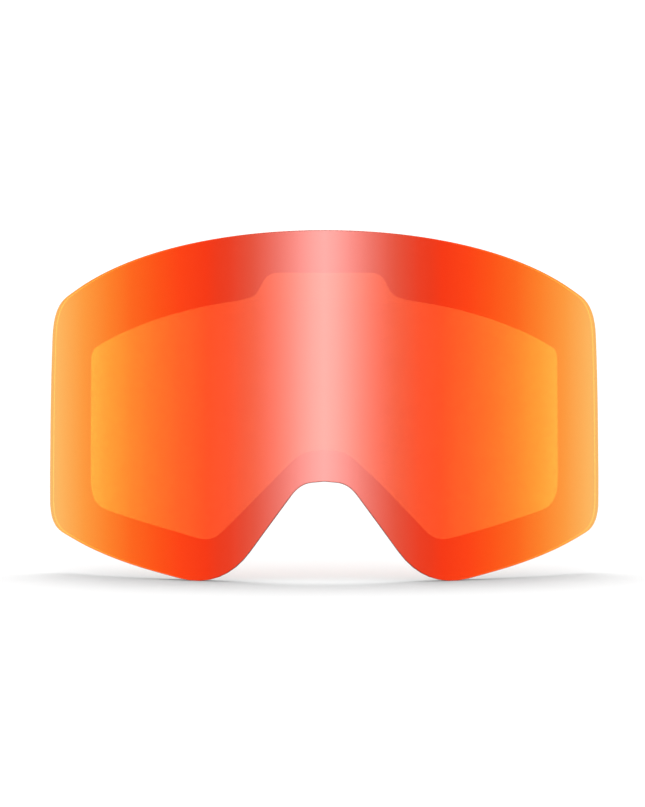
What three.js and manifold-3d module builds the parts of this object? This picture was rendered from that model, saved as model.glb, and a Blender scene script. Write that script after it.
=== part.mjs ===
// Magnetic double lens unit for ski goggles: a mirrored outer lens, a moulded carrier with
// magnets behind its border, and a clear inner pane held off by a foam spacer.
// Millimetres. +X is the wearer's left, -Y the way the lens faces, +Z up.
import * as THREE from 'three';
import { mergeVertices } from 'three/addons/utils/BufferGeometryUtils.js';
import Module from 'manifold-3d';

const wasm = await Module();
wasm.setup();

// ---- Driving dimensions ------------------------------------------------------------------

// Every layer is bent about one vertical axis. A place on it is given by its distance along
// the front of the outer lens from the middle, its height, and its radius from the axis.
const lensRadius = 104;
const lensThickness = 1.4;
const bondTapeThickness = 0.2;
const glueGap = 0.05;
const carrierThickness = 3.2;
const carrierInset = 0.5;
const rebateWidth = 1;
const rebateDepth = 1.2;
const flangeThickness = 1.4;
const flangeWidth = 3.7;
const spacerTapeThickness = 0.15;
const foamThickness = 2.3;
const foamStart = 0.3;
const foamWidth = 3;
const paneThickness = 0.8;
const paneOverlap = 3.4;
const bondTapeInset = 0.2;
const windowSetBack = 0.15;

// Magnets: plain blocks pressed into flat-floored pockets, proud of the carrier's rear.
const magnetThickness = 2;
const magnetProud = 0.3;
const pocketClearance = 0.3;
const longMagnet = { length: 10, width: 4 };
const shortMagnet = { length: 8, width: 3 };
const degree = Math.PI / 180;
const magnetPlaces = [
  { name: 'top_inner', along: 33, height: 98, tilt: -8.5 * degree, size: longMagnet },
  { name: 'top_outer', along: 72, height: 88.8, tilt: -19 * degree, size: longMagnet },
  { name: 'side', along: 98.8, height: 50, tilt: 90 * degree, size: longMagnet },
  { name: 'bottom', along: 70, height: 10.9, tilt: 12 * degree, size: longMagnet },
  { name: 'nose', along: 23, height: 16.5, tilt: -49 * degree, size: shortMagnet },
];

// Round lugs on the carrier's rear that find the holes in the goggle frame.
const lugRadius = 1.6;
const lugHeight = 2.5;
const lugRoot = 0.6;
const lugPlaces = [
  { along: 52.5, height: 94.3 },
  { along: 50, height: 6.8 },
];

// Breather in a break of the foam ring, over the middle of the raised tab.
const ventGapWidth = 8;
const ventLength = 7.2;
const ventBore = 1.4;
const membraneLength = 5.6;
const membraneThickness = 0.3;

// How finely the shells are bent and their corners and bores rounded.
const longestStep = 4.5;
const shortestStep = 0.3;
const cornerSteps = 6;
const roundSides = 20;

// How far a cutting tool runs past the faces it cuts.
const overcut = 1;

// Corners of the right half of each outline, from the top middle round to the bottom
// middle: distance along the front, height, and how far the rounding runs from the corner.
const lensCrown = { apex: 109.5, radius: 224 };
const lensCorners = [
  ...crown(lensCrown, 0, 86, 11),
  [102.8, 85.1, 9.5],
  [104.65, 60.3, 15],
  [105.35, 31, 0],
  [105.35, 15.3, 7.9],
  [74, 6.05, 18],
  [32.2, -2.43, 14.9],
  [7.5, 30.7, 4.6],
  [0, 31.4, 0],
];
const tabTop = 96.2;
const fieldCrown = { apex: 89.4, radius: 197 };
const fieldCorners = [
  [0, tabTop, 0],
  [17.6, tabTop, 3.2],
  [21.5, 88.9, 2.4],
  ...crown(fieldCrown, 27, 76, 7),
  [82.4, 71.3, 3],
  [82.75, 40, 0],
  [82.75, 22.65, 7.5],
  [35.6, 12.15, 5],
  [7.2, 40.5, 5],
  [0, 41.2, 0],
];

// ---- Radii of the layers, from the front to the rear ----------------------------------------

const lensRear = lensRadius - lensThickness;
const bondTapeFront = lensRear - glueGap;
const bondTapeRear = bondTapeFront - bondTapeThickness;
const carrierFront = bondTapeRear - glueGap;
const carrierRear = carrierFront - carrierThickness;
const flangeRear = carrierFront - flangeThickness;
const frontTapeFront = flangeRear - glueGap;
const foamFront = frontTapeFront - spacerTapeThickness - glueGap;
const foamRear = foamFront - foamThickness;
const rearTapeFront = foamRear - glueGap;
const paneFront = rearTapeFront - spacerTapeThickness - glueGap;
const magnetRear = carrierRear - magnetProud;

// ---- Outlines ---------------------------------------------------------------------------

function crown({ apex, radius }, start, end, steps) {
  const points = [];
  for (let i = 0; i <= steps; i++) {
    const along = start + (end - start) * (i / steps);
    points.push([along, apex - radius + Math.sqrt(radius * radius - along * along), 0]);
  }
  return points;
}

// Moves every edge of a half outline outwards by the same distance.
function grown(corners, distance) {
  const outward = corners.slice(1).map(([along, height], i) => {
    const [lastAlong, lastHeight] = corners[i];
    return new THREE.Vector2(lastHeight - height, along - lastAlong).normalize();
  });
  return corners.map(([along, height, ease], i) => {
    const after = outward[i] ?? mirrored(outward[i - 1]);
    const before = outward[i - 1] ?? mirrored(after);
    const shift = before.clone().add(after).multiplyScalar(distance / (1 + before.dot(after)));
    return [along + shift.x, height + shift.y, ease];
  });
}

function mirrored(direction) {
  return new THREE.Vector2(-direction.x, direction.y);
}

function rounded(corners) {
  const points = corners.map(([along, height]) => new THREE.Vector2(along, height));
  const path = new THREE.Path();
  path.moveTo(points[0].x, points[0].y);
  for (let i = 1; i < points.length - 1; i++) {
    const here = points[i];
    const ease = corners[i][2];
    const start = partWay(here, points[i - 1], ease);
    const end = partWay(here, points[i + 1], ease);
    path.lineTo(start.x, start.y);
    if (ease > 0) {
      path.quadraticCurveTo(here.x, here.y, end.x, end.y);
    }
  }
  path.lineTo(points.at(-1).x, points.at(-1).y);
  return path.getPoints(cornerSteps);
}

function partWay(from, to, distance) {
  const share = Math.min(distance / from.distanceTo(to), 0.49);
  return from.clone().lerp(to, share);
}

// Splits an outline at its widest place into its upper and its lower edge.
function edges(corners) {
  const points = rounded(corners);
  const widest = Math.max(...points.map((point) => point.x)) - 1e-6;
  const upper = points.slice(0, points.findIndex((point) => point.x >= widest) + 1);
  const lower = points.slice(points.findLastIndex((point) => point.x >= widest)).reverse();
  return { upper, lower };
}

function heightAt(edge, along) {
  const next = Math.max(1, edge.findIndex((point) => point.x >= along - 1e-6));
  const [a, b] = [edge[next - 1], edge[next]];
  return THREE.MathUtils.mapLinear(along, a.x, b.x, a.y, b.y);
}

// Places along one shell where it is folded: its outline's own points, and enough between.
function folds({ upper, lower }) {
  const own = [...upper, ...lower].map((point) => point.x).sort((a, b) => a - b);
  const widest = own.at(-1);
  const half = [0];
  for (const along of [...own.filter((place) => place < widest - shortestStep), widest]) {
    const last = half.at(-1);
    if (along - last >= shortestStep) {
      const steps = Math.ceil((along - last) / longestStep);
      for (let i = 1; i <= steps; i++) {
        half.push(last + (along - last) * (i / steps));
      }
    }
  }
  return [...half.slice(1).reverse().map((along) => -along), ...half];
}

// ---- Solids ------------------------------------------------------------------------------

function solid(geometry) {
  geometry.deleteAttribute('normal');
  geometry.deleteAttribute('uv');
  const merged = mergeVertices(geometry);
  return new wasm.Manifold(new wasm.Mesh({
    numProp: 3,
    vertProperties: merged.attributes.position.array,
    triVerts: new Uint32Array(merged.index.array),
  }));
}

function geometryOf(body) {
  const { vertProperties, triVerts } = body.getMesh();
  const geometry = new THREE.BufferGeometry();
  geometry.setAttribute('position', new THREE.BufferAttribute(vertProperties, 3));
  geometry.setIndex(new THREE.BufferAttribute(triVerts, 1));
  return geometry;
}

// A flat outline bent round the axis: a box with one slice for each fold. Its rim is square
// to the front, as cut from a bent sheet, or drawn straight back along Y, as moulded.
function shell(corners, rear, front, rim = 'square') {
  const { upper, lower } = edges(corners);
  const places = folds({ upper, lower });
  const slices = places.length - 1;
  const geometry = new THREE.BoxGeometry(1, 1, 1, slices, 1, 1);
  const position = geometry.attributes.position;
  for (let i = 0; i < position.count; i++) {
    const along = places[Math.round((position.getX(i) + 0.5) * slices)];
    const edge = position.getY(i) > 0 ? upper : lower;
    const radius = position.getZ(i) > 0 ? front : rear;
    const across = lensRadius * Math.sin(along / lensRadius);
    const turn = rim === 'drawn' ? Math.asin(across / radius) : along / lensRadius;
    const height = heightAt(edge, Math.abs(along));
    position.setXYZ(i, radius * Math.sin(turn), -radius * Math.cos(turn), height);
  }
  return solid(geometry);
}

// A shell with a second outline cut out of it, straight back along Y.
function ring(outerCorners, innerCorners, rear, front, rim) {
  const window = shell(innerCorners, rear - overcut, front + overcut, 'drawn');
  return shell(outerCorners, rear, front, rim).subtract(window);
}

// A rectangle of a bent layer, centred over the middle of the lens.
function patch(length, bottom, top, rear, front) {
  const corners = [[0, top, 0], [length / 2, top, 0], [length / 2, bottom, 0], [0, bottom, 0]];
  return shell(corners, rear, front);
}

// Turns and moves a flat piece to a place on the lens. Its own X runs along the lens, its
// own Y up, and its own Z out through the front.
function seat({ along, height, tilt = 0 }, radius) {
  const turn = along / lensRadius;
  const out = new THREE.Vector3(Math.sin(turn), -Math.cos(turn), 0);
  const side = new THREE.Vector3(Math.cos(turn), Math.sin(turn), 0);
  const up = new THREE.Vector3(0, 0, 1);
  const centre = out.clone().multiplyScalar(radius).addScaledVector(up, height);
  const matrix = new THREE.Matrix4().makeBasis(side, up, out).setPosition(centre);
  return matrix.multiply(new THREE.Matrix4().makeRotationZ(tilt));
}

function bothSides(place) {
  const other = { ...place, along: -place.along, tilt: -(place.tilt ?? 0) };
  return [{ ...place, end: 'left' }, { ...other, end: 'right' }];
}

// ---- Materials ---------------------------------------------------------------------------

function material(color, roughness, metalness, more = {}) {
  return () => new THREE.MeshStandardMaterial({ color, roughness, metalness, ...more });
}

const mirrorLens = material('#fb6a28', 0.06, 0.5);
const clearPane = material('#d9c9b8', 0.05, 0, { transparent: true, opacity: 0.4 });
const carrierPlastic = material('#1d1c1d', 0.6, 0);
const magnetNickel = material('#b9bbbd', 0.3, 1);
const blackTape = material('#141414', 0.8, 0);
const greyFoam = material('#3a3a3c', 0.95, 0);
const ventPlastic = material('#232325', 0.5, 0);
const whiteMembrane = material('#dcdcd8', 0.9, 0);

const lensUnit = new THREE.Group();
lensUnit.name = 'lens_unit';

function add(name, geometry, look) {
  const mesh = new THREE.Mesh(geometry, look());
  mesh.name = name;
  lensUnit.add(mesh);
  return mesh;
}

// ---- Outer lens and its bond to the carrier ---------------------------------------------------

function addOuterLens() {
  const lens = shell(lensCorners, lensRear, lensRadius);
  const tape = ring(
    grown(lensCorners, -bondTapeInset),
    fieldCorners,
    bondTapeRear,
    bondTapeFront,
  );
  add('outer_lens', geometryOf(lens), mirrorLens);
  add('lens_bond_tape', geometryOf(tape), blackTape);
}

// ---- Carrier: border land, flange round the window, rebate, pockets and lugs ----------------------

function addCarrier() {
  let carrier = ring(
    grown(lensCorners, -carrierInset),
    grown(fieldCorners, windowSetBack),
    carrierRear,
    carrierFront,
  );
  const recessEdge = grown(fieldCorners, flangeWidth);
  const recess = shell(recessEdge, carrierRear - overcut, flangeRear, 'drawn');
  carrier = carrier.subtract(recess).subtract(rebate());
  for (const place of magnetPlaces.flatMap(bothSides)) {
    carrier = carrier.subtract(pocket(place));
  }
  for (const place of lugPlaces.flatMap(bothSides)) {
    carrier = carrier.add(lug(place));
  }
  add('magnet_carrier', geometryOf(carrier), carrierPlastic);
}

// The step round the carrier's rear rim, where the lip of the goggle frame sits.
function rebate() {
  const shoulder = carrierRear + rebateDepth;
  const keptEdge = grown(lensCorners, -carrierInset - rebateWidth);
  const kept = shell(keptEdge, carrierRear - 2 * overcut, shoulder + overcut);
  return shell(grown(lensCorners, overcut), carrierRear - overcut, shoulder).subtract(kept);
}

function pocket(place) {
  const length = place.size.length + 2 * pocketClearance;
  const width = place.size.width + 2 * pocketClearance;
  const floor = magnetRear + magnetThickness + pocketClearance;
  const mouth = magnetRear - overcut;
  const block = new THREE.BoxGeometry(length, width, floor - mouth);
  block.applyMatrix4(seat(place, (floor + mouth) / 2));
  return solid(block);
}

function lug(place) {
  const root = carrierRear + lugRoot;
  const tip = carrierRear - lugHeight;
  const pin = new THREE.CylinderGeometry(lugRadius, lugRadius, root - tip, roundSides);
  pin.rotateX(Math.PI / 2);
  pin.applyMatrix4(seat(place, (root + tip) / 2));
  return solid(pin);
}

function addMagnets() {
  for (const place of magnetPlaces.flatMap(bothSides)) {
    const block = new THREE.BoxGeometry(place.size.length, place.size.width, magnetThickness);
    const magnet = add(`magnet_${place.name}_${place.end}`, block, magnetNickel);
    magnet.applyMatrix4(seat(place, magnetRear + magnetThickness / 2));
  }
}

// ---- Spacer, breather and inner pane -----------------------------------------------------------

function addSpacer() {
  const inside = grown(fieldCorners, foamStart);
  const outside = grown(fieldCorners, foamStart + foamWidth);
  const frontTapeRear = frontTapeFront - spacerTapeThickness;
  const rearTapeRear = rearTapeFront - spacerTapeThickness;
  const frontTape = ring(outside, inside, frontTapeRear, frontTapeFront, 'drawn');
  const rearTape = ring(outside, inside, rearTapeRear, rearTapeFront, 'drawn');
  const foam = ring(outside, inside, foamRear, foamFront, 'drawn');
  const gap = patch(
    ventGapWidth,
    tabTop - overcut,
    tabTop + foamStart + foamWidth + overcut,
    foamRear - overcut,
    foamFront + overcut,
  );
  add('spacer_tape_front', geometryOf(frontTape), blackTape);
  add('foam_spacer', geometryOf(foam.subtract(gap)), greyFoam);
  add('spacer_tape_rear', geometryOf(rearTape), blackTape);
}

function addBreather() {
  const bottom = tabTop + foamStart;
  const top = bottom + foamWidth - 2 * membraneThickness;
  const boreLength = foamWidth + 2 * overcut;
  const bore = new THREE.CylinderGeometry(ventBore / 2, ventBore / 2, boreLength, roundSides);
  bore.rotateX(Math.PI / 2);
  bore.translate(0, -(foamFront + foamRear) / 2, (bottom + top) / 2);
  const plug = patch(ventLength, bottom, top, foamRear, foamFront).subtract(solid(bore));
  const membraneBottom = top + glueGap;
  const membraneTop = membraneBottom + membraneThickness;
  const membrane = patch(membraneLength, membraneBottom, membraneTop, foamRear, foamFront);
  add('vent_plug', geometryOf(plug), ventPlastic);
  add('vent_membrane', geometryOf(membrane), whiteMembrane);
}

function addInnerPane() {
  const outline = grown(fieldCorners, paneOverlap);
  const pane = shell(outline, paneFront - paneThickness, paneFront, 'drawn');
  add('inner_pane', geometryOf(pane), clearPane);
}

addOuterLens();
addCarrier();
addMagnets();
addSpacer();
addBreather();
addInnerPane();

// Origin: on the surface that the two lower lobes stand on, under the middle of the box.
const box = new THREE.Box3().setFromObject(lensUnit, true);
const middle = box.getCenter(new THREE.Vector3());
lensUnit.position.set(-middle.x, -middle.y, -box.min.z);

export default lensUnit;
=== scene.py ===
"""Looks for a magnetic double lens unit of ski goggles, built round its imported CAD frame.

Every bent layer is made flat and then rolled about the lens's upright axis. In the flat,
X runs along the front of the lens, Y is the depth behind that front, and Z is the height.
"""

import math

import bmesh
import bpy
from mathutils import Matrix, Vector
from mathutils.geometry import interpolate_bezier


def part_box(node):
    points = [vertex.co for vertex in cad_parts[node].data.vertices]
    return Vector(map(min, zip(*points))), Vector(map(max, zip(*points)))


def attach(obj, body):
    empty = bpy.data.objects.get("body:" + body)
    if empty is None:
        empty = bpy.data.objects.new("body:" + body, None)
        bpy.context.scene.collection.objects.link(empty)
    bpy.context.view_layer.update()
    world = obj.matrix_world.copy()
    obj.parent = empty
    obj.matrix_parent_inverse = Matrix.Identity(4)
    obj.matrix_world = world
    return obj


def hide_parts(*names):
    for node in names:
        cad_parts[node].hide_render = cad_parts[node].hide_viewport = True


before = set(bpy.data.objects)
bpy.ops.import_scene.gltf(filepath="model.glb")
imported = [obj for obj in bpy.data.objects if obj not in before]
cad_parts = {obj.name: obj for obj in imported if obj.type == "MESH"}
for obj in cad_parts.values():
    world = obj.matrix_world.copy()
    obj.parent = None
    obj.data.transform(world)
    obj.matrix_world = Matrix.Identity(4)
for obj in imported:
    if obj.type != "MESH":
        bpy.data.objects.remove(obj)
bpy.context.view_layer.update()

MM = 0.001
DEGREE = math.pi / 180

# ---- Sizes shared with the CAD -----------------------------------------------------------

LENS_RADIUS = 104 * MM
LENS_APEX = 109.5 * MM
LENS_DEPTH = (0.0, 1.4 * MM)
BOND_DEPTH = (1.45 * MM, 1.65 * MM)
CARRIER_DEPTH = (1.7 * MM, 4.9 * MM)
FLANGE_REAR = 3.1 * MM
FRONT_TAPE_DEPTH = (3.15 * MM, 3.3 * MM)
FOAM_DEPTH = (3.35 * MM, 5.65 * MM)
REAR_TAPE_DEPTH = (5.7 * MM, 5.85 * MM)
PANE_DEPTH = (5.9 * MM, 6.7 * MM)
CARRIER_INSET = 0.5 * MM
REBATE_WIDTH = 1 * MM
REBATE_DEPTH = 1.2 * MM
BOND_INSET = 0.2 * MM
WINDOW_SET_BACK = 0.15 * MM
FOAM_START = 0.3 * MM
FOAM_WIDTH = 3 * MM
PANE_OVERLAP = 3.4 * MM
FLANGE_WIDTH = 3.7 * MM
MAGNET_REAR = 5.2 * MM
MAGNET_THICKNESS = 2 * MM
POCKET_CLEARANCE = 0.3 * MM
LUG_RADIUS = 1.6 * MM
LUG_HEIGHT = 2.5 * MM
LUG_ROOT = 0.6 * MM
VENT_GAP = (8 * MM, 6 * MM, 7 * MM)
VENT_GAP_DEPTH = 4.5 * MM
VENT_LENGTH = 7.2 * MM
VENT_BORE = 1.4 * MM
MEMBRANE_LENGTH = 5.6 * MM
MEMBRANE_THICKNESS = 0.3 * MM
GLUE_GAP = 0.05 * MM
TAB_TOP = 96.2 * MM

LENS_LOW, LENS_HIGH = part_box("outer_lens")
AXIS_Y = LENS_LOW[1] + LENS_RADIUS
LIFT = LENS_HIGH[2] - LENS_APEX

# ---- Sizes of the finish ------------------------------------------------------------------

LENS_STEP = 1.5 * MM
LAYER_STEP = 2 * MM
LENS_EDGE = 0.28 * MM
CARRIER_EDGE = 0.3 * MM
MAGNET_EDGE = 0.3 * MM
PANE_EDGE = 0.14 * MM
LUG_EDGE = 0.4 * MM
PLUG_EDGE = 0.15 * MM
MEMBRANE_EDGE = 0.06 * MM
VENT_STEP = 0.8 * MM
FOAM_BULGE = 0.14 * MM
FOAM_SLICES = 5
BEVEL_STEPS = 3
CORNER_POINTS = 9
SHARP_ANGLE = 38 * DEGREE
STRAIGHT_ANGLE = 0.01 * DEGREE
FLAT_ANGLE = 0.5 * DEGREE
MIRROR_MERGE = 0.01 * MM
WELD = 0.005 * MM
SLICE_REACH = 0.001 * MM
# How squarely a face looks forwards or back to count as flat, and the least for a cut edge.
FACE_ON = 0.999
EDGE_FACING = 0.3
# The depths that a tool spans to pass through every layer, and how far joined solids overlap.
THROUGH = (-1 * MM, 8 * MM)
OVERLAP = 1 * MM
POCKET_REACH = 2 * MM


# ---- Outlines -----------------------------------------------------------------------------
# Each is the left half of a flat sheet, from the top middle to the bottom middle. A corner
# is its distance along, its height and how far back its rounding starts, in millimetres.

def crown(apex, radius, start, end, steps):
    """Corners along a round top edge, with no rounding of their own."""
    corners = []
    for i in range(steps + 1):
        along = start + (end - start) * i / steps
        corners.append((along, apex - radius + math.sqrt(radius * radius - along * along), 0))
    return corners


LENS_CORNERS = crown(109.5, 224, 0, 86, 22) + [
    (102.8, 85.1, 9.5),
    (104.65, 60.3, 15),
    (105.35, 31, 0),
    (105.35, 15.3, 7.9),
    (74, 6.05, 18),
    (32.2, -2.43, 14.9),
    (7.5, 30.7, 4.6),
    (0, 31.4, 0),
]
FIELD_CORNERS = [(0, 96.2, 0), (17.6, 96.2, 3.2), (21.5, 88.9, 2.4)] + crown(
    89.4, 197, 27, 76, 14
) + [
    (82.4, 71.3, 3),
    (82.75, 40, 0),
    (82.75, 22.65, 7.5),
    (35.6, 12.15, 5),
    (7.2, 40.5, 5),
    (0, 41.2, 0),
]


def grown(corners, distance):
    """The half outline with every edge moved outwards by the distance, given in metres."""
    step = distance / MM
    outward = []
    for (x0, z0, _), (x1, z1, _) in zip(corners, corners[1:]):
        outward.append(Vector((z0 - z1, x1 - x0)).normalized())
    first, last = outward[0], outward[-1]
    befores = [Vector((-first.x, first.y))] + outward
    afters = outward + [Vector((-last.x, last.y))]
    moved = []
    for (x, z, ease), before, after in zip(corners, befores, afters):
        shift = (before + after) * (step / (1 + before.dot(after)))
        moved.append((x + shift.x, z + shift.y, ease))
    return moved


def rounded(corners):
    """Points of the half outline in metres, with its eased corners as curves."""
    points = [Vector((x * MM, 0, z * MM)) for x, z, _ in corners]
    line = [points[0]]
    for before, here, after, corner in zip(points, points[1:], points[2:], corners[1:]):
        if corner[2] == 0:
            line.append(here)
            continue
        start = here.lerp(before, min(corner[2] * MM / (before - here).length, 0.49))
        end = here.lerp(after, min(corner[2] * MM / (after - here).length, 0.49))
        handles = start.lerp(here, 2 / 3), end.lerp(here, 2 / 3)
        line += interpolate_bezier(start, *handles, end, CORNER_POINTS)
    return line + [points[-1]]


# ---- Flat sheets and the tools that shape them -----------------------------------------------

def sheet(corners, depth, drawn=False):
    """A flat sheet of an outline. A drawn one has walls that run straight back once bent."""
    front, rear = depth
    bm = bmesh.new()
    verts = [bm.verts.new((p.x, front, p.z + LIFT)) for p in rounded(corners)]
    for a, b in zip(verts, verts[1:]):
        bm.edges.new((a, b))
    bmesh.ops.mirror(bm, geom=bm.verts[:] + bm.edges[:], axis="X", merge_dist=MIRROR_MERGE)
    bmesh.ops.contextual_create(bm, geom=bm.edges[:])
    bmesh.ops.dissolve_limit(bm, angle_limit=STRAIGHT_ANGLE, verts=bm.verts, edges=bm.edges)
    side = bmesh.ops.extrude_face_region(bm, geom=bm.faces[:])
    moved = [item for item in side["geom"] if isinstance(item, bmesh.types.BMVert)]
    bmesh.ops.translate(bm, verts=moved, vec=(0, rear - front, 0))
    bmesh.ops.recalc_face_normals(bm, faces=bm.faces)
    if drawn:
        for vert in bm.verts:
            vert.co.x = drawn_place(vert.co.x, vert.co.y)
    return piece_from(bm)


def drawn_place(along, depth):
    """Where a wall that starts at a place on the front lies, at a depth, once laid flat."""
    across = LENS_RADIUS * math.sin(along / LENS_RADIUS)
    return LENS_RADIUS * math.asin(across / (LENS_RADIUS - depth))


def block(size, centre, tilt=0, edge=0):
    """A flat-sided block, turned about the depth direction."""
    bm = bmesh.new()
    bmesh.ops.create_cube(bm, size=1)
    bmesh.ops.scale(bm, vec=size, verts=bm.verts)
    if edge:
        bevel_edges(bm, bm.edges[:], edge)
    bmesh.ops.rotate(bm, verts=bm.verts, cent=(0, 0, 0), matrix=Matrix.Rotation(-tilt, 3, "Y"))
    bmesh.ops.translate(bm, verts=bm.verts, vec=centre)
    return piece_from(bm)


def peg(radius, length, centre, turn=None, edge=0, sides=32):
    """A round peg along the depth direction, or turned by the matrix that is given."""
    bm = bmesh.new()
    bmesh.ops.create_cone(
        bm, cap_ends=True, segments=sides, radius1=radius, radius2=radius, depth=length
    )
    if edge:
        rims = [e for e in bm.edges if e.calc_face_angle() > SHARP_ANGLE]
        bevel_edges(bm, rims, edge)
    matrix = turn or Matrix.Rotation(90 * DEGREE, 3, "X")
    bmesh.ops.rotate(bm, verts=bm.verts, cent=(0, 0, 0), matrix=matrix)
    bmesh.ops.translate(bm, verts=bm.verts, vec=centre)
    return piece_from(bm)


def bevel_edges(bm, edges, width):
    bmesh.ops.bevel(
        bm,
        geom=edges,
        offset=width,
        offset_type="OFFSET",
        segments=BEVEL_STEPS,
        profile=0.5,
        affect="EDGES",
        material=-1,
        clamp_overlap=True,
    )


def piece_from(bm):
    mesh = bpy.data.meshes.new("work")
    bm.to_mesh(mesh)
    bm.free()
    piece = bpy.data.objects.new("work", mesh)
    bpy.context.scene.collection.objects.link(piece)
    return piece


def join_by(piece, tool, operation):
    """Cuts the tool out of the piece, or adds it to it, and removes the tool.

    The exact solver loses the carrier among its pockets, so the manifold one is used.
    """
    modifier = piece.modifiers.new("join", "BOOLEAN")
    modifier.operation = operation
    modifier.solver = "MANIFOLD"
    modifier.object = tool
    shape = piece.evaluated_get(bpy.context.evaluated_depsgraph_get())
    mesh = bpy.data.meshes.new_from_object(shape)
    piece.modifiers.clear()
    piece.data = mesh
    bpy.data.objects.remove(tool)


def cut(piece, tool):
    join_by(piece, tool, "DIFFERENCE")


def add(piece, tool):
    join_by(piece, tool, "UNION")


def soften(piece, width):
    """Rounds every sharp edge of a flat piece."""
    bm = bmesh.new()
    bm.from_mesh(piece.data)
    bmesh.ops.remove_doubles(bm, verts=bm.verts, dist=WELD)
    bmesh.ops.dissolve_limit(
        bm, angle_limit=FLAT_ANGLE, verts=bm.verts, edges=bm.edges, delimit={"MATERIAL"}
    )
    edges = [e for e in bm.edges if len(e.link_faces) == 2 and e.calc_face_angle() > SHARP_ANGLE]
    bevel_edges(bm, edges, width)
    bm.to_mesh(piece.data)
    bm.free()


def slice_at(bm, place, direction):
    """Adds edges all round where a plane meets the mesh."""
    bmesh.ops.bisect_plane(
        bm,
        geom=bm.verts[:] + bm.edges[:] + bm.faces[:],
        dist=SLICE_REACH,
        plane_co=place,
        plane_no=direction,
    )


def bend(piece, step):
    """Folds a flat piece finely, keeps its flat faces crisp, and rolls it round the axis."""
    bm = bmesh.new()
    bm.from_mesh(piece.data)
    for face in bm.faces:
        face.smooth = True
    for edge in bm.edges:
        if len(edge.link_faces) == 2:
            flat = [abs(face.normal.y) > FACE_ON for face in edge.link_faces]
            edge.smooth = flat[0] == flat[1] and edge.calc_face_angle() < SHARP_ANGLE
    half = max(abs(vert.co.x) for vert in bm.verts)
    count = int(half / step)
    for i in range(-count, count + 1):
        slice_at(bm, (i * step, 0, 0), (1, 0, 0))
    for vert in bm.verts:
        vert.co = bent(vert.co)
    bm.to_mesh(piece.data)
    bm.free()


def bent(place):
    """Where a place in the flat lies once the sheet is rolled round the axis."""
    turn = place.x / LENS_RADIUS
    radius = LENS_RADIUS - place.y
    return Vector((radius * math.sin(turn), AXIS_Y - radius * math.cos(turn), place.z))


def seat(along, height, depth, tilt):
    """The matrix that sets a flat block at a place on the bent unit."""
    centre = bent(Vector((along, depth, height + LIFT)))
    turn = Matrix.Rotation(along / LENS_RADIUS, 4, "Z") @ Matrix.Rotation(-tilt, 4, "Y")
    return Matrix.Translation(centre) @ turn


# ---- Materials ------------------------------------------------------------------------------

def new_material(name):
    material = bpy.data.materials.new(name)
    material.use_nodes = True
    nodes = material.node_tree.nodes
    return material, nodes, material.node_tree.links, nodes["Principled BSDF"]


def new_group(name, inputs, outputs):
    """An empty shader group with number inputs and the outputs that are named."""
    group = bpy.data.node_groups.new(name, "ShaderNodeTree")
    group.interface.new_socket("Place", in_out="INPUT", socket_type="NodeSocketVector")
    for label, value in inputs.items():
        socket = group.interface.new_socket(label, in_out="INPUT", socket_type="NodeSocketFloat")
        socket.default_value = value
    for label in outputs:
        group.interface.new_socket(label, in_out="OUTPUT", socket_type="NodeSocketFloat")
    return group, group.nodes.new("NodeGroupInput"), group.nodes.new("NodeGroupOutput")


def noise(nodes, links, place, scale, detail=2.0, roughness=0.5):
    """A noise texture. The scale is a number or a socket, in cells per metre."""
    texture = nodes.new("ShaderNodeTexNoise")
    texture.inputs["Detail"].default_value = detail
    texture.inputs["Roughness"].default_value = roughness
    links.new(place, texture.inputs["Vector"])
    if isinstance(scale, bpy.types.NodeSocket):
        links.new(scale, texture.inputs["Scale"])
    else:
        texture.inputs["Scale"].default_value = scale
    return texture.outputs["Fac"]


def math_node(nodes, links, operation, *values, clamp=False):
    node = nodes.new("ShaderNodeMath")
    node.operation = operation
    node.use_clamp = clamp
    for socket, value in zip(node.inputs, values):
        if isinstance(value, bpy.types.NodeSocket):
            links.new(value, socket)
        else:
            socket.default_value = value
    return node.outputs[0]


def spread(nodes, links, value, low, high, start=0.0, end=1.0):
    """Maps a value that runs from start to end to a range from low to high."""
    node = nodes.new("ShaderNodeMapRange")
    links.new(value, node.inputs["Value"])
    node.inputs["From Min"].default_value = start
    node.inputs["From Max"].default_value = end
    node.inputs["To Min"].default_value = low
    node.inputs["To Max"].default_value = high
    return node.outputs["Result"]


def blend_colours(nodes, links, factor, first, second):
    node = nodes.new("ShaderNodeMix")
    node.data_type = "RGBA"
    links.new(factor, node.inputs["Factor"])
    for socket, colour in ((node.inputs["A"], first), (node.inputs["B"], second)):
        if isinstance(colour, bpy.types.NodeSocket):
            links.new(colour, socket)
        else:
            socket.default_value = (*colour, 1)
    return node.outputs["Result"]


def bump(nodes, links, height, distance, shader):
    node = nodes.new("ShaderNodeBump")
    node.inputs["Distance"].default_value = distance
    node.inputs["Strength"].default_value = 1.0
    links.new(height, node.inputs["Height"])
    links.new(node.outputs["Normal"], shader.inputs["Normal"])


def place_of(nodes):
    return nodes.new("ShaderNodeTexCoord").outputs["Object"]


def ramp(nodes, links, value, stops):
    node = nodes.new("ShaderNodeValToRGB")
    elements = node.color_ramp.elements
    elements[0].position, elements[1].position = 0.0, 1.0
    for position, _ in stops[1:-1]:
        elements.new(position)
    for element, (_, colour) in zip(elements, stops):
        element.color = (*colour, 1) if len(colour) == 3 else colour
    links.new(value, node.inputs["Fac"])
    return node.outputs["Color"]


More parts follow.
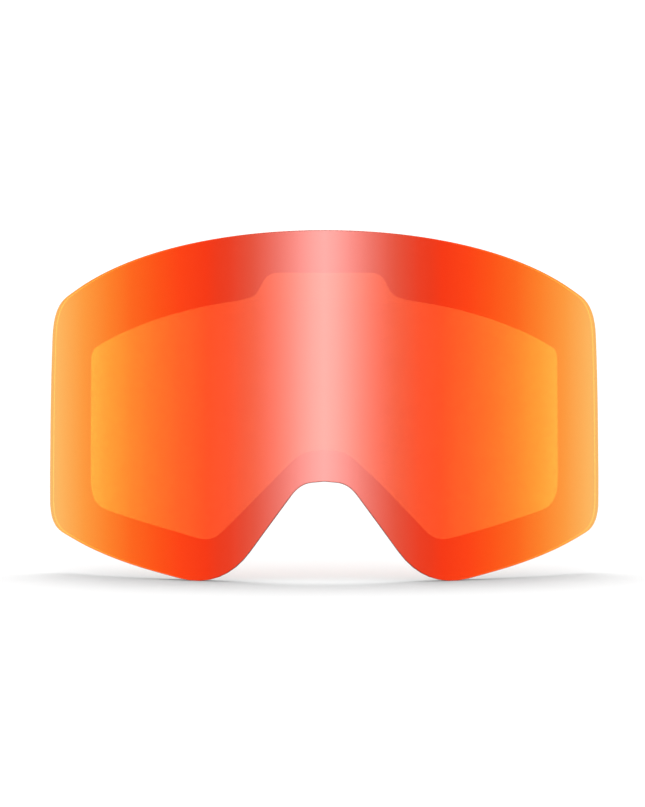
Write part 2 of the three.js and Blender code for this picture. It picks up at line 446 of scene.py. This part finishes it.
def make_handling_group():
    """Faint smears and specks, as left by a cloth and by the air: 0 clean, 1 marked."""
    group, inputs, outputs = new_group("handling_marks", {"Smear": 0.5, "Specks": 0.5}, ["Marks"])
    nodes, links = group.nodes, group.links
    place = inputs.outputs["Place"]
    stretch = nodes.new("ShaderNodeMapping")
    stretch.inputs["Rotation"].default_value = (0.3, 0.2, 0.7)
    stretch.inputs["Scale"].default_value = (1, 1, 0.35)
    links.new(place, stretch.inputs["Vector"])
    broad = noise(nodes, links, stretch.outputs["Vector"], 45, detail=3.0, roughness=0.6)
    smear = spread(nodes, links, broad, 0, 1, start=0.52, end=0.75)
    fine = noise(nodes, links, place, 2600, detail=1.0)
    speck = spread(nodes, links, fine, 0, 1, start=0.74, end=0.80)
    first = math_node(nodes, links, "MULTIPLY", smear, inputs.outputs["Smear"])
    second = math_node(nodes, links, "MULTIPLY", speck, inputs.outputs["Specks"])
    both = math_node(nodes, links, "ADD", first, second, clamp=True)
    links.new(both, outputs.inputs["Marks"])
    return group


def make_grain_group():
    """Moulded texture: a height and a tone that vary together, from a fine and a broad noise."""
    group, inputs, outputs = new_group(
        "moulded_grain", {"Fine": 3000.0, "Broad": 160.0}, ["Height", "Tone"]
    )
    nodes, links = group.nodes, group.links
    place = inputs.outputs["Place"]
    fine = noise(nodes, links, place, inputs.outputs["Fine"], detail=3.0, roughness=0.6)
    broad = noise(nodes, links, place, inputs.outputs["Broad"], detail=4.0)
    half = math_node(nodes, links, "MULTIPLY", broad, 0.5)
    tone = math_node(nodes, links, "MULTIPLY_ADD", fine, 0.5, half)
    links.new(fine, outputs.inputs["Height"])
    links.new(tone, outputs.inputs["Tone"])
    return group


HANDLING = make_handling_group()
GRAIN = make_grain_group()


def use_group(nodes, links, group, place, **values):
    node = nodes.new("ShaderNodeGroup")
    node.node_tree = group
    links.new(place, node.inputs["Place"])
    for label, value in values.items():
        node.inputs[label].default_value = value
    return node


# Colours by distance from the middle of the lens, as shares of the half width.
HALF_WIDTH = 90 * MM
MIRROR_ALPHA = 0.82
BOUNCE_GREY = (0.3, 0.3, 0.3)
# The sheets are thin beside their bend, so a low index keeps the view through them straight.
SHEET_IOR = 1.02
# The mirror coat: rose in the middle, then red, orange and amber towards the sides. The pale,
# pinkish rose of the middle is partly a painted highlight: it stands in for part of the softbox's
# reflection there.
MIRROR_AND_HIGHLIGHT_STOPS = [
    (0.00, (0.40, 0.150, 0.139)),
    (0.08, (0.43, 0.134, 0.120)),
    (0.165, (0.50, 0.101, 0.079)),
    (0.25, (0.63, 0.070, 0.039)),
    (0.33, (0.80, 0.048, 0.017)),
    (0.41, (0.94, 0.042, 0.008)),
    (0.50, (1.00, 0.057, 0.008)),
    (0.58, (1.00, 0.087, 0.009)),
    (0.67, (1.00, 0.135, 0.013)),
    (0.755, (1.00, 0.220, 0.023)),
    (0.845, (1.00, 0.325, 0.045)),
    (0.94, (1.00, 0.460, 0.097)),
    (1.00, (0.90, 0.500, 0.140)),
]
# The dye in the lens body, as what one pass takes on: red, then amber at the sides.
DYE_STOPS = [
    (0.00, (0.82, 0.034, 0.005)),
    (0.20, (0.82, 0.052, 0.005)),
    (0.30, (0.82, 0.058, 0.005)),
    (0.40, (0.82, 0.070, 0.005)),
    (0.51, (0.82, 0.185, 0.007)),
    (0.626, (0.82, 0.330, 0.008)),
    (0.745, (0.82, 0.610, 0.009)),
    (0.85, (0.82, 0.980, 0.014)),
    (1.00, (0.82, 0.980, 0.020)),
]


def across_lens(nodes, links, place, stops, wander):
    """A colour that changes from the middle of the lens to its sides, with a slight drift."""
    drift = noise(nodes, links, place, 9, detail=1.0)
    across = nodes.new("ShaderNodeSeparateXYZ")
    links.new(place, across.inputs[0])
    distance = math_node(nodes, links, "ABSOLUTE", across.outputs["X"])
    share = math_node(nodes, links, "DIVIDE", distance, HALF_WIDTH)
    shift = spread(nodes, links, drift, -wander, wander)
    where = math_node(nodes, links, "ADD", share, shift, clamp=True)
    return ramp(nodes, links, where, stops)


def plain_bounce(nodes, links, colour):
    """Keeps the light that a matt surface gets from the lens neutral, so the floor is white."""
    rays = nodes.new("ShaderNodeLightPath")
    return blend_colours(nodes, links, rays.outputs["Is Diffuse Ray"], colour, BOUNCE_GREY)


def see_through(shader, coat, coat_roughness):
    """Lets light pass almost straight through, under a thin gloss."""
    shader.inputs["Transmission Weight"].default_value = 1.0
    shader.inputs["IOR"].default_value = SHEET_IOR
    shader.inputs["Coat Weight"].default_value = coat
    shader.inputs["Coat Roughness"].default_value = coat_roughness


def mirror_coat():
    """Thin-film mirror on the front of the lens, which lets a little light through."""
    material, nodes, links, shader = new_material("mirror_coat")
    place = place_of(nodes)
    marks = use_group(nodes, links, HANDLING, place, Smear=0.5, Specks=0.4)
    # The ramp's pale rose middle is partly a painted highlight, not only the coat's own colour.
    colour = across_lens(nodes, links, place, MIRROR_AND_HIGHLIGHT_STOPS, 0.012)
    links.new(plain_bounce(nodes, links, colour), shader.inputs["Base Color"])
    rough = spread(nodes, links, marks.outputs["Marks"], 0.035, 0.10)
    links.new(rough, shader.inputs["Roughness"])
    shader.inputs["Metallic"].default_value = 1.0
    shader.inputs["Alpha"].default_value = MIRROR_ALPHA
    return material


def tinted_polycarbonate():
    """The body of the outer lens, seen at its cut edge and from behind."""
    material, nodes, links, shader = new_material("tinted_polycarbonate")
    place = place_of(nodes)
    marks = use_group(nodes, links, HANDLING, place, Smear=0.4, Specks=0.3)
    colour = across_lens(nodes, links, place, DYE_STOPS, 0.02)
    links.new(plain_bounce(nodes, links, colour), shader.inputs["Base Color"])
    rough = spread(nodes, links, marks.outputs["Marks"], 0.02, 0.08)
    links.new(rough, shader.inputs["Roughness"])
    see_through(shader, coat=0.5, coat_roughness=0.05)
    return material


def clear_pane():
    """Anti-fog sheet: clear, faintly warm, with the least haze."""
    material, nodes, links, shader = new_material("clear_pane")
    place = place_of(nodes)
    haze = noise(nodes, links, place, 35, detail=2.0)
    colour = blend_colours(nodes, links, haze, (0.95, 0.94, 0.92), (0.91, 0.90, 0.87))
    marks = use_group(nodes, links, HANDLING, place, Smear=0.5, Specks=0.3)
    links.new(colour, shader.inputs["Base Color"])
    rough = spread(nodes, links, marks.outputs["Marks"], 0.02, 0.07)
    links.new(rough, shader.inputs["Roughness"])
    see_through(shader, coat=0.8, coat_roughness=0.04)
    return material


def grained(name, dark, light, fine, depth, rough):
    """A moulded, foamed or filmy surface with a grain of its own scale."""
    material, nodes, links, shader = new_material(name)
    place = place_of(nodes)
    grain = use_group(nodes, links, GRAIN, place, Fine=fine, Broad=fine / 18)
    colour = blend_colours(nodes, links, grain.outputs["Tone"], dark, light)
    links.new(colour, shader.inputs["Base Color"])
    roughness = spread(nodes, links, grain.outputs["Tone"], rough - 0.1, rough + 0.1)
    links.new(roughness, shader.inputs["Roughness"])
    bump(nodes, links, grain.outputs["Height"], depth, shader)
    return material


def magnet_nickel():
    """Tumbled nickel plate: fine scratches all ways, duller patches, faint stains."""
    material, nodes, links, shader = new_material("magnet_nickel")
    place = place_of(nodes)
    grain = use_group(nodes, links, GRAIN, place, Fine=5200.0, Broad=420.0)
    colour = blend_colours(
        nodes, links, grain.outputs["Tone"], (0.44, 0.43, 0.405), (0.66, 0.655, 0.64)
    )
    links.new(colour, shader.inputs["Base Color"])
    rough = spread(nodes, links, grain.outputs["Tone"], 0.16, 0.42)
    links.new(rough, shader.inputs["Roughness"])
    shader.inputs["Metallic"].default_value = 1.0
    bump(nodes, links, grain.outputs["Height"], 0.006 * MM, shader)
    return material


def spacer_foam():
    """Closed-cell foam: small round cells, darker between them."""
    material, nodes, links, shader = new_material("spacer_foam")
    place = place_of(nodes)
    cells = nodes.new("ShaderNodeTexVoronoi")
    cells.inputs["Scale"].default_value = 3200
    links.new(place, cells.inputs["Vector"])
    size = math_node(nodes, links, "MULTIPLY", cells.outputs["Distance"], 1.4, clamp=True)
    colour = blend_colours(nodes, links, size, (0.10, 0.10, 0.105), (0.025, 0.025, 0.028))
    links.new(colour, shader.inputs["Base Color"])
    shader.inputs["Roughness"].default_value = 0.93
    shader.inputs["Sheen Weight"].default_value = 0.2
    depth = math_node(nodes, links, "SUBTRACT", 1.0, size)
    bump(nodes, links, depth, 0.05 * MM, shader)
    return material


MATERIALS = {
    "mirror_coat": mirror_coat(),
    "tinted_polycarbonate": tinted_polycarbonate(),
    "edge_seal": grained(
        "edge_seal", (0.012, 0.012, 0.013), (0.028, 0.027, 0.028), 2200, 0.008 * MM, 0.42
    ),
    "clear_pane": clear_pane(),
    "carrier_plastic": grained(
        "carrier_plastic", (0.016, 0.016, 0.017), (0.034, 0.033, 0.035), 2600, 0.025 * MM, 0.52
    ),
    "magnet_nickel": magnet_nickel(),
    "black_tape": grained(
        "black_tape", (0.010, 0.010, 0.011), (0.022, 0.022, 0.023), 1800, 0.015 * MM, 0.72
    ),
    "spacer_foam": spacer_foam(),
    "vent_plastic": grained(
        "vent_plastic", (0.035, 0.035, 0.037), (0.060, 0.060, 0.063), 3200, 0.02 * MM, 0.45
    ),
    "vent_membrane": grained(
        "vent_membrane", (0.70, 0.70, 0.67), (0.86, 0.86, 0.84), 9000, 0.02 * MM, 0.88
    ),
}


def finish_piece(piece, name, slot, materials=None):
    """Names a piece, gives it its materials and tells the frame what it stands for."""
    piece.name = piece.data.name = name + "_look"
    piece.data.materials.clear()
    for label in materials or [slot]:
        piece.data.materials.append(MATERIALS[label])
    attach(piece, "root")
    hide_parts(name)


# ---- Pieces -----------------------------------------------------------------------------------

def window_cutter(grow):
    """A tool that cuts the window straight back through every layer."""
    return sheet(grown(FIELD_CORNERS, grow), THROUGH, drawn=True)


def make_outer_lens():
    """The lens: dyed body behind, mirror in front, and a dark seal on its cut edge."""
    lens = sheet(LENS_CORNERS, LENS_DEPTH)
    soften(lens, LENS_EDGE)
    bend(lens, LENS_STEP)
    layers = ["tinted_polycarbonate", "mirror_coat", "edge_seal"]
    finish_piece(lens, "outer_lens", "mirror_lens", layers)
    for polygon in lens.data.polygons:
        centre = polygon.center
        out = Vector((centre.x, centre.y - AXIS_Y, 0)).normalized()
        facing = polygon.normal.dot(out)
        if abs(facing) < EDGE_FACING:
            polygon.material_index = layers.index("edge_seal")
        elif facing > 0:
            polygon.material_index = layers.index("mirror_coat")


def make_bond_tape():
    tape = sheet(grown(LENS_CORNERS, -BOND_INSET), BOND_DEPTH)
    cut(tape, window_cutter(0))
    bend(tape, LAYER_STEP)
    finish_piece(tape, "lens_bond_tape", "black_tape")


# Place, distance along, height, tilt in degrees, and length and width, in millimetres.
MAGNET_PLACES = [
    ("top_inner", 33, 98, -8.5, (10, 4)),
    ("top_outer", 72, 88.8, -19, (10, 4)),
    ("side", 98.8, 50, 90, (10, 4)),
    ("bottom", 70, 10.9, 12, (10, 4)),
    ("nose", 23, 16.5, -49, (8, 3)),
]
# Distances along and heights, in millimetres.
LUG_PLACES = [(52.5, 94.3), (50, 6.8)]
EJECTOR_PLACES = [(12, 103.5), (43, 98.2), (62.5, 92.2), (94, 78), (100, 33), (92, 17), (60, 7.6)]
EJECTOR_RADIUS = 1.3 * MM
EJECTOR_DEPTH = 0.12 * MM


def both_sides(along, tilt):
    """The end's name, place along and tilt, for the wearer's left and then right."""
    return [("left", along * MM, tilt * DEGREE), ("right", -along * MM, -tilt * DEGREE)]


def make_carrier():
    """The border frame: stepped rim, thin flange round the window, pockets, marks and lugs."""
    front, rear = CARRIER_DEPTH
    shoulder = rear - REBATE_DEPTH
    carrier = sheet(grown(LENS_CORNERS, -CARRIER_INSET), (front, shoulder))
    land = grown(LENS_CORNERS, -CARRIER_INSET - REBATE_WIDTH)
    add(carrier, sheet(land, (shoulder - OVERLAP, rear)))
    cut(carrier, window_cutter(WINDOW_SET_BACK))
    recess = sheet(grown(FIELD_CORNERS, FLANGE_WIDTH), (FLANGE_REAR, THROUGH[1]), drawn=True)
    cut(carrier, recess)
    for _, along, height, tilt, size in MAGNET_PLACES:
        for _, x, turn in both_sides(along, tilt):
            cut(carrier, pocket(x, height * MM, turn, size))
    for along, height in EJECTOR_PLACES:
        for _, x, _ in both_sides(along, 0):
            mark = (x, rear, height * MM + LIFT)
            cut(carrier, peg(EJECTOR_RADIUS, 2 * EJECTOR_DEPTH, mark))
    soften(carrier, CARRIER_EDGE)
    for along, height in LUG_PLACES:
        for _, x, _ in both_sides(along, 0):
            foot = rear - LUG_ROOT
            tip = rear + LUG_HEIGHT
            middle = (x, (foot + tip) / 2, height * MM + LIFT)
            add(carrier, peg(LUG_RADIUS, tip - foot, middle, edge=LUG_EDGE))
    bend(carrier, LAYER_STEP)
    finish_piece(carrier, "magnet_carrier", "carrier_plastic")


def pocket(x, height, turn, size):
    """A tool for the hole that a magnet is glued into."""
    floor = MAGNET_REAR - MAGNET_THICKNESS - POCKET_CLEARANCE
    mouth = MAGNET_REAR + POCKET_REACH
    length, width = (side * MM + 2 * POCKET_CLEARANCE for side in size)
    return block((length, mouth - floor, width), (x, (floor + mouth) / 2, height + LIFT), turn)


def make_magnets():
    for place, along, height, tilt, size in MAGNET_PLACES:
        for end, x, turn in both_sides(along, tilt):
            length, width = (side * MM for side in size)
            magnet = block((length, MAGNET_THICKNESS, width), (0, 0, 0), edge=MAGNET_EDGE)
            depth = MAGNET_REAR - MAGNET_THICKNESS / 2
            magnet.data.transform(seat(x, height * MM, depth, turn))
            crisp(magnet)
            finish_piece(magnet, f"magnet_{place}_{end}", "magnet_nickel")


def crisp(piece):
    """Smooth roundings with the flat faces between them kept flat."""
    bm = bmesh.new()
    bm.from_mesh(piece.data)
    largest = max(face.calc_area() for face in bm.faces)
    flat = {face.index for face in bm.faces if face.calc_area() > 0.1 * largest}
    for face in bm.faces:
        face.smooth = True
    for edge in bm.edges:
        edge.smooth = not any(face.index in flat for face in edge.link_faces)
    bm.to_mesh(piece.data)
    bm.free()


def make_spacer():
    """The foam ring, open at the top middle for the breather, and its two tapes."""
    outside = grown(FIELD_CORNERS, FOAM_START + FOAM_WIDTH)
    for name, depth in (
        ("spacer_tape_front", FRONT_TAPE_DEPTH),
        ("spacer_tape_rear", REAR_TAPE_DEPTH),
    ):
        tape = sheet(outside, depth, drawn=True)
        cut(tape, window_cutter(FOAM_START))
        bend(tape, LAYER_STEP)
        finish_piece(tape, name, "black_tape")
    foam = sheet(outside, FOAM_DEPTH, drawn=True)
    cut(foam, window_cutter(FOAM_START))
    cut(foam, block(VENT_GAP, (0, VENT_GAP_DEPTH, TAB_TOP + LIFT + FOAM_WIDTH / 2)))
    bulge(foam)
    bend(foam, LAYER_STEP)
    finish_piece(foam, "foam_spacer", "spacer_foam")


def bulge(foam):
    """Swells the walls of the squeezed foam between its two tapes."""
    front, rear = FOAM_DEPTH
    bm = bmesh.new()
    bm.from_mesh(foam.data)
    for i in range(1, FOAM_SLICES):
        level = front + (rear - front) * i / FOAM_SLICES
        slice_at(bm, (0, level, 0), (0, 1, 0))
    bm.normal_update()
    for vert in bm.verts:
        share = (vert.co.y - front) / (rear - front)
        out = Vector((vert.normal.x, 0, vert.normal.z))
        if 0.01 < share < 0.99 and out.length > 0:
            vert.co += out.normalized() * FOAM_BULGE * math.sin(math.pi * share)
    bm.to_mesh(foam.data)
    bm.free()


def make_breather():
    """A plug with an upright bore, under a strip that lets air through but not water."""
    front, rear = FOAM_DEPTH
    bottom = TAB_TOP + FOAM_START + LIFT
    top = bottom + FOAM_WIDTH - 2 * MEMBRANE_THICKNESS
    middle = (0, (front + rear) / 2, (bottom + top) / 2)
    plug = block((VENT_LENGTH, rear - front, top - bottom), middle, edge=PLUG_EDGE)
    bore = peg(VENT_BORE / 2, 2 * FOAM_WIDTH, middle, turn=Matrix.Identity(3))
    cut(plug, bore)
    bend(plug, VENT_STEP)
    finish_piece(plug, "vent_plug", "vent_plastic")
    level = (0, (front + rear) / 2, top + GLUE_GAP + MEMBRANE_THICKNESS / 2)
    size = (MEMBRANE_LENGTH, rear - front, MEMBRANE_THICKNESS)
    membrane = block(size, level, edge=MEMBRANE_EDGE)
    bend(membrane, VENT_STEP)
    finish_piece(membrane, "vent_membrane", "vent_membrane")


def make_inner_pane():
    pane = sheet(grown(FIELD_CORNERS, PANE_OVERLAP), PANE_DEPTH, drawn=True)
    soften(pane, PANE_EDGE)
    bend(pane, LENS_STEP)
    finish_piece(pane, "inner_pane", "clear_pane")


make_outer_lens()
make_bond_tape()
make_carrier()
make_magnets()
make_spacer()
make_breather()
make_inner_pane()


# ---- Floor, light and camera --------------------------------------------------------------

def stage_plane(name, width, height, matrix):
    bm = bmesh.new()
    bmesh.ops.create_grid(bm, x_segments=1, y_segments=1, size=0.5)
    bmesh.ops.scale(bm, vec=(width, height, 1), verts=bm.verts)
    bmesh.ops.transform(bm, matrix=matrix, verts=bm.verts)
    plane = piece_from(bm)
    plane.name = name
    return plane


FLOOR_SIZE = 12
FLOOR_MIDDLE = (0, 3, 0)


def make_floor():
    floor = stage_plane("floor", FLOOR_SIZE, FLOOR_SIZE, Matrix.Translation(FLOOR_MIDDLE))
    material, nodes, links, shader = new_material("floor_paint")
    place = place_of(nodes)
    tone = noise(nodes, links, place, 3, detail=2.0)
    colour = blend_colours(nodes, links, tone, (0.93, 0.93, 0.93), (0.95, 0.95, 0.95))
    links.new(colour, shader.inputs["Base Color"])
    shader.inputs["Roughness"].default_value = 0.9
    shader.inputs["Specular IOR Level"].default_value = 0.1
    floor.data.materials.append(material)
    floor.visible_glossy = False


WORLD_GLOSS = 1.2
WORLD_GLOSS_LOW = 0.7
WORLD_FILL = 0.85
# How steeply down a direction points where gloss is darkest, and where it is full.
GLOSS_LOW_FROM = -0.85
GLOSS_FULL_FROM = -0.35
OVERHEAD_STRENGTH = 1.05
OVERHEAD_SPREAD = 30 * DEGREE
OVERHEAD_PLACE = (0, 0.25, 1.3)
OVERHEAD_TILT = -0.3
SOFTBOX_DISTANCE = 1.6
SOFTBOX_SIZE = (2.6, 2.4)
SOFTBOX_EVEN_HEIGHT = 0.3
# Strength by distance from the middle, as a share of the half width.
SOFTBOX_STOPS = [
    (0.00, 2.33),
    (0.09, 2.10),
    (0.18, 1.65),
    (0.27, 1.30),
    (0.37, 0.96),
    (0.47, 0.65),
    (0.58, 0.38),
    (0.70, 0.20),
    (0.85, 0.07),
    (0.98, 0.0),
    (1.00, 0.0),
]


def make_softbox():
    """A tall soft light behind the camera, brightest along its middle. Only gloss sees it."""
    place = Matrix.Translation((0, -SOFTBOX_DISTANCE, 0)) @ Matrix.Rotation(90 * DEGREE, 4, "X")
    panel = stage_plane("softbox", *SOFTBOX_SIZE, place)
    material = bpy.data.materials.new("softbox_light")
    material.use_nodes = True
    nodes, links = material.node_tree.nodes, material.node_tree.links
    nodes.clear()
    across = nodes.new("ShaderNodeSeparateXYZ")
    links.new(place_of(nodes), across.inputs[0])
    distance = math_node(nodes, links, "ABSOLUTE", across.outputs["X"])
    share = math_node(nodes, links, "DIVIDE", distance, SOFTBOX_SIZE[0] / 2)
    strongest = SOFTBOX_STOPS[0][1]
    stops = [(position, (value / strongest,) * 3) for position, value in SOFTBOX_STOPS]
    height = math_node(nodes, links, "ABSOLUTE", across.outputs["Z"])
    end = SOFTBOX_SIZE[1] / 2
    fade = spread(nodes, links, height, strongest, 0, start=SOFTBOX_EVEN_HEIGHT, end=end)
    fade.node.interpolation_type = "SMOOTHSTEP"
    glow = math_node(nodes, links, "MULTIPLY", ramp(nodes, links, share, stops), fade)
    light = nodes.new("ShaderNodeEmission")
    room = nodes.new("ShaderNodeBsdfTransparent")
    both = nodes.new("ShaderNodeAddShader")
    output = nodes.new("ShaderNodeOutputMaterial")
    links.new(glow, light.inputs["Strength"])
    links.new(light.outputs[0], both.inputs[0])
    links.new(room.outputs[0], both.inputs[1])
    links.new(both.outputs[0], output.inputs["Surface"])
    panel.data.materials.append(material)
    panel.visible_camera = False
    panel.visible_diffuse = False
    panel.visible_shadow = False
    panel.visible_transmission = False


def make_overhead():
    """A wide soft light from above and a little behind."""
    light = bpy.data.lights.new("overhead", "SUN")
    light.energy = OVERHEAD_STRENGTH
    light.angle = OVERHEAD_SPREAD
    lamp = bpy.data.objects.new("overhead", light)
    lamp.location = OVERHEAD_PLACE
    lamp.rotation_euler = (OVERHEAD_TILT, 0, 0)
    bpy.context.scene.collection.objects.link(lamp)


def make_world():
    """An even white room. In gloss its lower half is darker, as a table edge makes it."""
    world = bpy.data.worlds.new("studio")
    world.use_nodes = True
    nodes, links = world.node_tree.nodes, world.node_tree.links
    rays = nodes.new("ShaderNodeLightPath")
    direction = nodes.new("ShaderNodeSeparateXYZ")
    links.new(nodes.new("ShaderNodeTexCoord").outputs["Generated"], direction.inputs[0])
    steepness = direction.outputs["Z"]
    levels = (WORLD_GLOSS_LOW, WORLD_GLOSS)
    low = spread(nodes, links, steepness, *levels, start=GLOSS_LOW_FROM, end=GLOSS_FULL_FROM)
    gloss = nodes.new("ShaderNodeMix")
    links.new(rays.outputs["Is Glossy Ray"], gloss.inputs["Factor"])
    gloss.inputs["A"].default_value = WORLD_GLOSS
    links.new(low, gloss.inputs["B"])
    fill = nodes.new("ShaderNodeMix")
    links.new(rays.outputs["Is Diffuse Ray"], fill.inputs["Factor"])
    links.new(gloss.outputs["Result"], fill.inputs["A"])
    fill.inputs["B"].default_value = WORLD_FILL
    background = nodes["Background"]
    background.inputs["Color"].default_value = (1, 1, 1, 1)
    links.new(fill.outputs["Result"], background.inputs["Strength"])
    bpy.context.scene.world = world


CAMERA_DISTANCE = 1.39
CAMERA_HEIGHT = 0.10073
AIM_HEIGHT = 0.05573
CAMERA_SIDE = -0.00056
CAMERA_LENS = 200
CAMERA_SENSOR = 36
CAMERA_REACH = 50


def make_camera():
    data = bpy.data.cameras.new("camera")
    data.lens = CAMERA_LENS
    data.sensor_width = CAMERA_SENSOR
    data.clip_end = CAMERA_REACH
    camera = bpy.data.objects.new("camera", data)
    place = Vector((CAMERA_SIDE, LENS_LOW[1] - CAMERA_DISTANCE, CAMERA_HEIGHT))
    aim = Vector((CAMERA_SIDE, LENS_LOW[1], AIM_HEIGHT))
    camera.location = place
    camera.rotation_euler = (aim - place).to_track_quat("-Z", "Y").to_euler()
    bpy.context.scene.collection.objects.link(camera)
    bpy.context.scene.camera = camera


make_floor()
make_softbox()
make_overhead()
make_world()
make_camera()
bpy.context.scene.view_settings.view_transform = "Standard"
